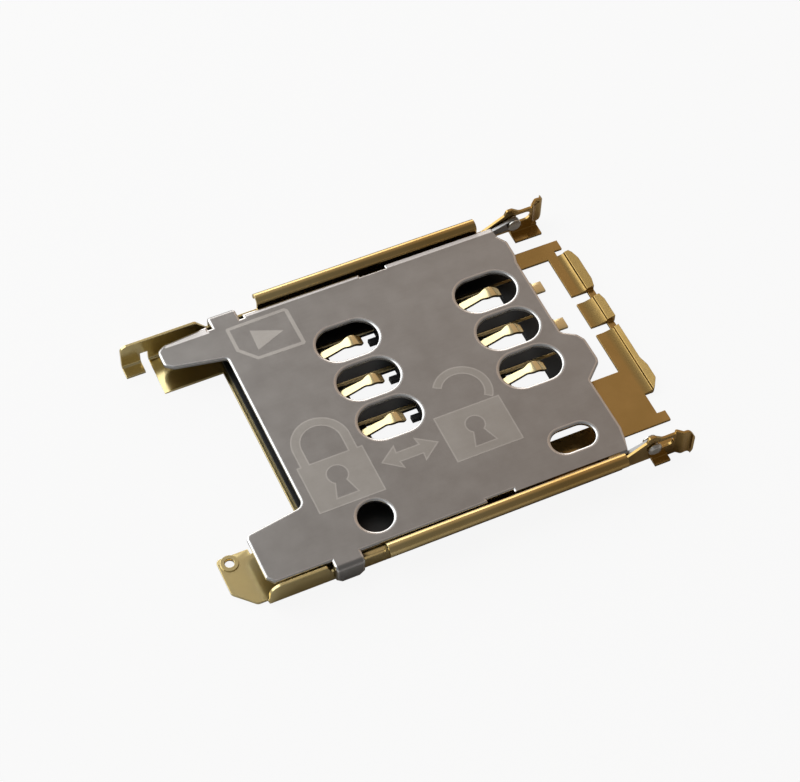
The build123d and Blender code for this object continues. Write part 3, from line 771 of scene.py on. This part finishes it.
def loftSpring(form):
    across = contactLook["across"]
    half = contactLook["sheet"] / 2
    rings = []
    for i, (x, z, width, crown) in enumerate(springStations):
        before = springStations[max(i - 1, 0)]
        after = springStations[min(i + 1, len(springStations) - 1)]
        along = Vector((after[0] - before[0], 0, after[1] - before[1])).normalized()
        up = Vector((-along.z, 0, along.x))
        ring = []
        for face, order in ((1, across), (-1, list(reversed(across)))):
            for t in order:
                thick = half * (contactLook["edgeThickness"] if abs(t) == 1.0 else 1.0)
                lift = crown * (1 - t * t)
                point = Vector((x, t * width / 2, z)) + up * (face * thick + lift)
                ring.append(form.verts.new(point * mm))
        rings.append(ring)
    size = len(rings[0])
    # The faces marked here, along both sides of the spring, later take the near-black painted shade.
    sheared = form.faces.layers.bool.new("sheared")
    for ring, following in zip(rings, rings[1:]):
        for i in range(size):
            j = (i + 1) % size
            side = form.faces.new((ring[i], ring[j], following[j], following[i]))
            side[sheared] = (i + 2) % len(across) < 3
    form.faces.new(rings[0])
    form.faces.new(list(reversed(rings[-1])))


def plate(form, outline, low, high, holes=()):
    # A flat plate between two heights, with openings.
    rings = [[Vector((x * mm, y * mm, high * mm)) for x, y in loop] for loop in (outline, *holes)]
    corners = [form.verts.new(point) for ring in rings for point in ring]
    faces = [form.faces.new([corners[i] for i in triangle]) for triangle in tessellate_polygon(rings)]
    made = bmesh.ops.extrude_face_region(form, geom=faces)
    moved = [part for part in made["geom"] if isinstance(part, bmesh.types.BMVert)]
    bmesh.ops.translate(form, verts=moved, vec=(0, 0, (low - high) * mm))


def smoothPiece(form, name):
    # A finished form, facing outward and smooth, as an object that modifiers can finish.
    bmesh.ops.recalc_face_normals(form, faces=form.faces)
    for face in form.faces:
        face.smooth = True
    mesh = bpy.data.meshes.new(name)
    form.to_mesh(mesh)
    form.free()
    return showMesh(name, mesh)


def springStrip():
    spring = bmesh.new()
    loftSpring(spring)
    piece = smoothPiece(spring, "springStrip")
    smooth = piece.modifiers.new("smooth bends", "SUBSURF")
    smooth.levels = contactLook["smoothing"]
    smooth.render_levels = contactLook["smoothing"]
    return bakeModifiers(piece, "springStrip")


def contactBars():
    # The flat strip around the spring, with its window, and the tail that folds down to the board.
    look = contactLook
    bars = bmesh.new()
    low, high = look["top"] - look["sheet"], look["top"]
    half, inner, tail = look["half"], look["windowHalf"], look["tailWidth"] / 2
    outline = [(look["barLeft"], -half), (look["barRight"], -half), (look["barRight"], -tail),
               (look["tailDown"], -tail), (look["tailDown"], tail), (look["barRight"], tail),
               (look["barRight"], half), (look["barLeft"], half)]
    window = [(look["windowLeft"], -inner), (look["windowLeft"], inner),
              (look["windowRight"], inner), (look["windowRight"], -inner)]
    plate(bars, outline, low, high, [window])
    down, sheet, foot = look["tailDown"], look["sheet"], look["tailFoot"]
    bend = [(down + out * sheet, high - drop * sheet) for out, drop in look["tailBend"]]
    bend += [(down + sheet, foot * sheet), (down + foot * sheet, sheet), (look["tailEnd"], sheet),
             (look["tailEnd"], 0.0), (down, 0.0)]
    near = [bars.verts.new(Vector((x, -tail, z)) * mm) for x, z in bend]
    far = [bars.verts.new(Vector((x, tail, z)) * mm) for x, z in bend]
    for i in range(len(bend)):
        j = (i + 1) % len(bend)
        bars.faces.new((near[i], near[j], far[j], far[i]))
    bars.faces.new(list(reversed(near)))
    bars.faces.new(far)
    bmesh.ops.recalc_face_normals(bars, faces=bars.faces)
    bmesh.ops.dissolve_limit(bars, angle_limit=flatAngle, verts=bars.verts, edges=bars.edges)
    piece = smoothPiece(bars, "contactBars")
    roundEdges(piece, look["edge"], look["edgeSegments"])
    return bakeModifiers(piece, "contactBars")


def makeContactTemplate():
    both = bmesh.new()
    for part in (springStrip(), contactBars()):
        both.from_mesh(part.data)
        bpy.data.objects.remove(part)
    joined = bpy.data.meshes.new("contactTemplate")
    both.to_mesh(joined)
    both.free()
    for polygon in joined.polygons:
        polygon.use_smooth = True
    return showMesh("contactTemplate", joined)


def contactRowsTree():
    tree = bpy.data.node_groups.new("contactRows", "GeometryNodeTree")
    for label, kind in (("Contact", "Object"), ("Columns", "Int"), ("Rows", "Int"), ("Pitch X", "Float"),
                        ("Pitch Y", "Float"), ("Middle", "Vector"), ("Finish", "Material"),
                        ("Side Shade Finish", "Material")):
        tree.interface.new_socket(name=label, in_out="INPUT", socket_type="NodeSocket" + kind)
    tree.interface.new_socket(name="Geometry", in_out="OUTPUT", socket_type="NodeSocketGeometry")
    start, end = tree.nodes.new("NodeGroupInput"), tree.nodes.new("NodeGroupOutput")
    link = tree.links.new

    def span(count, pitch):
        less = mathNode(tree, "SUBTRACT", start.outputs[count], 1.0)
        return mathNode(tree, "MULTIPLY", less, start.outputs[pitch])

    grid = tree.nodes.new("GeometryNodeMeshGrid")
    link(start.outputs["Columns"], grid.inputs["Vertices X"])
    link(start.outputs["Rows"], grid.inputs["Vertices Y"])
    link(span("Columns", "Pitch X"), grid.inputs["Size X"])
    link(span("Rows", "Pitch Y"), grid.inputs["Size Y"])
    moved = tree.nodes.new("GeometryNodeTransform")
    link(grid.outputs["Mesh"], moved.inputs["Geometry"])
    link(start.outputs["Middle"], moved.inputs["Translation"])
    model = tree.nodes.new("GeometryNodeObjectInfo")
    link(start.outputs["Contact"], model.inputs["Object"])
    placed = tree.nodes.new("GeometryNodeInstanceOnPoints")
    link(moved.outputs["Geometry"], placed.inputs["Points"])
    link(model.outputs["Geometry"], placed.inputs["Instance"])
    real = tree.nodes.new("GeometryNodeRealizeInstances")
    link(placed.outputs["Instances"], real.inputs["Geometry"])
    painted = tree.nodes.new("GeometryNodeSetMaterial")
    link(real.outputs["Geometry"], painted.inputs["Geometry"])
    link(start.outputs["Finish"], painted.inputs["Material"])
    # The spring's side faces take the painted shade finish.
    sheared = tree.nodes.new("GeometryNodeInputNamedAttribute")
    sheared.data_type = "BOOLEAN"
    sheared.inputs["Name"].default_value = "sheared"
    sides = tree.nodes.new("GeometryNodeSetMaterial")
    link(painted.outputs["Geometry"], sides.inputs["Geometry"])
    link(sheared.outputs["Attribute"], sides.inputs["Selection"])
    link(start.outputs["Side Shade Finish"], sides.inputs["Material"])
    link(sides.outputs["Geometry"], end.inputs["Geometry"])
    return tree


def makeContacts():
    look = contactLook
    template = makeContactTemplate()
    tree = contactRowsTree()
    piece = showMesh("contactSprings", bpy.data.meshes.new("contactSprings"))
    modifier = piece.modifiers.new("contact rows", "NODES")
    modifier.node_group = tree
    middle = ((look["firstX"] + look["pitchX"] * (look["columns"] - 1) / 2) * mm,
              (look["firstY"] - look["pitchY"] * (look["rows"] - 1) / 2) * mm, 0.0)
    values = {"Contact": template, "Columns": look["columns"], "Rows": look["rows"],
              "Pitch X": look["pitchX"] * mm, "Pitch Y": look["pitchY"] * mm,
              "Middle": middle, "Finish": contactGold, "Side Shade Finish": sideShadeGold}
    for item in tree.interface.items_tree:
        if item.in_out == "INPUT":
            modifier[item.identifier] = values[item.name]
    levelNormals(piece)
    bakeModifiers(piece, "contactSprings")
    bpy.data.objects.remove(template)
    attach(piece, "socket")
    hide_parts(*[f"contact_{i}" for i in range(1, 7)])


makeContacts()
print("contacts ready")


# Hinge pins

pinLook = {
    "edge": 0.03, "segments": 3,
    "nodes": {"hinge_pin_far": "hingePinFar", "hinge_pin_near": "hingePinNear"},
}

for pinNode, pinName in pinLook["nodes"].items():
    pin = refinedCopy(pinNode, pinName, pinLook["edge"], pinLook["segments"])
    setMaterials(pin, pinSteel)
    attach(pin, "hinge_pins")
    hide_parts(pinNode)
print("pins ready")


# Floor, lights, world and camera

stageLook = {
    "floorHalf": 3.0, "paper": (0.78, 0.77, 0.76),
    "paperShare": 0.09,       # how much of the paper's light and shadow the camera sees in the white floor
    "roomStops": [(0.0, (0.62, 0.65, 0.68)), (0.5, (0.205, 0.197, 0.190)),
                  (0.8, (0.46, 0.325, 0.228)), (1.0, (0.39, 0.272, 0.185))],
    "roomAcross": (-0.25, 0.55),
    # Levels of the room at two values of the direction's Y, Z or X
    "farSide": (0.12, 1.0, -0.15, 0.42), "horizon": (0.6, 0.0, 0.0, 0.30), "leftSide": (1.0, 0.0, 0.2, 0.6),
    "mirroredWhite": 0.15,    # how much of the white background metal shows through the room's tones
    "aim": (0, 0, 1),
    # Name, place, size, brightness as seen in a mirror, colour
    "lamps": [("farLeftKey", (-116, 120, 112), (232, 240), 1.5, (0.95, 0.985, 1.0)),
              ("farStrip", (40, 186, 62), (150, 112), 2.1, (1.0, 0.99, 0.97))],
}
cameraLook = {
    "place": (-29.930, -59.427, 93.693), "turn": (0.9304302, 0.2972765, -0.0761279, -0.2003270),
    "sensor": 36.0, "lens": 104.969, "nearest": 0.005, "farthest": 10.0,
}


def lightPathFactor(tree, *outputs):
    path = tree.nodes.new("ShaderNodeLightPath")
    total = path.outputs[outputs[0]]
    for output in outputs[1:]:
        total = mathNode(tree, "MAXIMUM", total, path.outputs[output])
    return total


def makeFloor():
    half = stageLook["floorHalf"]
    mesh = bpy.data.meshes.new("floor")
    corners = [(-half, -half, 0), (half, -half, 0), (half, half, 0), (-half, half, 0)]
    mesh.from_pydata(corners, [], [(0, 1, 2, 3)])
    floor = showMesh("floor", mesh)
    material = bpy.data.materials.new("floorPaper")
    material.use_nodes = True
    tree = material.node_tree
    tree.nodes.clear()
    paper = tree.nodes.new("ShaderNodeBsdfDiffuse")
    paper.inputs["Color"].default_value = (*stageLook["paper"], 1)
    glow = tree.nodes.new("ShaderNodeEmission")
    glow.inputs["Color"].default_value = (1, 1, 1, 1)
    glow.inputs["Strength"].default_value = 1.0
    seen = tree.nodes.new("ShaderNodeMixShader")
    seen.inputs["Fac"].default_value = stageLook["paperShare"]
    tree.links.new(glow.outputs[0], seen.inputs[1])
    tree.links.new(paper.outputs[0], seen.inputs[2])
    choice = tree.nodes.new("ShaderNodeMixShader")
    tree.links.new(lightPathFactor(tree, "Is Camera Ray", "Is Transmission Ray"), choice.inputs["Fac"])
    tree.links.new(paper.outputs[0], choice.inputs[1])
    tree.links.new(seen.outputs[0], choice.inputs[2])
    out = tree.nodes.new("ShaderNodeOutputMaterial")
    tree.links.new(choice.outputs[0], out.inputs["Surface"])
    mesh.materials.append(material)


def makeWorld():
    look = stageLook
    world = bpy.data.worlds.new("studio")
    bpy.context.scene.world = world
    world.use_nodes = True
    tree = world.node_tree
    tree.nodes.clear()
    direction = tree.nodes.new("ShaderNodeTexCoord").outputs["Generated"]
    parts = tree.nodes.new("ShaderNodeSeparateXYZ")
    tree.links.new(direction, parts.inputs[0])
    across = rangeNode(tree, parts.outputs["X"], 0.0, 1.0, *look["roomAcross"])
    room = rampNode(tree, across, look["roomStops"])
    farSide = rangeNode(tree, parts.outputs["Y"], *look["farSide"])
    horizon = rangeNode(tree, parts.outputs["Z"], *look["horizon"])
    leftSide = rangeNode(tree, parts.outputs["X"], *look["leftSide"])
    level = mathNode(tree, "ADD", farSide, mathNode(tree, "MULTIPLY", horizon, leftSide))
    sky = tree.nodes.new("ShaderNodeVectorMath")
    sky.operation = "SCALE"
    tree.links.new(room, sky.inputs[0])
    tree.links.new(level, sky.inputs["Scale"])
    studio = tree.nodes.new("ShaderNodeBackground")
    tree.links.new(sky.outputs[0], studio.inputs["Color"])
    white = tree.nodes.new("ShaderNodeBackground")
    white.inputs["Color"].default_value = (1, 1, 1, 1)
    mirrored = mathNode(tree, "MULTIPLY", lightPathFactor(tree, "Is Glossy Ray"), look["mirroredWhite"])
    seen = mathNode(tree, "MAXIMUM", lightPathFactor(tree, "Is Camera Ray", "Is Transmission Ray"), mirrored)
    choice = tree.nodes.new("ShaderNodeMixShader")
    tree.links.new(seen, choice.inputs["Fac"])
    tree.links.new(studio.outputs[0], choice.inputs[1])
    tree.links.new(white.outputs[0], choice.inputs[2])
    out = tree.nodes.new("ShaderNodeOutputWorld")
    tree.links.new(choice.outputs[0], out.inputs["Surface"])


def softbox(name, place, size, strength, colour):
    # An area light aimed at the middle of the socket.
    lamp = bpy.data.lights.new(name, "AREA")
    lamp.shape = "RECTANGLE"
    lamp.size, lamp.size_y = size[0] * mm, size[1] * mm
    lamp.energy = strength * math.pi * lamp.size * lamp.size_y
    lamp.color = colour
    stand = bpy.data.objects.new(name, lamp)
    bpy.context.scene.collection.objects.link(stand)
    stand.location = Vector(place) * mm
    aim = Vector(stageLook["aim"]) * mm - stand.location
    stand.rotation_mode = "QUATERNION"
    stand.rotation_quaternion = aim.to_track_quat("-Z", "Y")


def makeCamera():
    look = cameraLook
    camera = bpy.data.cameras.new("photoCamera")
    camera.sensor_width = look["sensor"]
    camera.lens = look["lens"]
    camera.clip_start = look["nearest"]
    camera.clip_end = look["farthest"]
    view = bpy.data.objects.new("photoCamera", camera)
    bpy.context.scene.collection.objects.link(view)
    view.location = Vector(look["place"]) * mm
    view.rotation_mode = "QUATERNION"
    view.rotation_quaternion = Quaternion(look["turn"])
    bpy.context.scene.camera = view


makeFloor()
makeWorld()
for lampSizes in stageLook["lamps"]:
    softbox(*lampSizes)
makeCamera()
bpy.context.scene.view_settings.view_transform = "Standard"
print("stage ready")
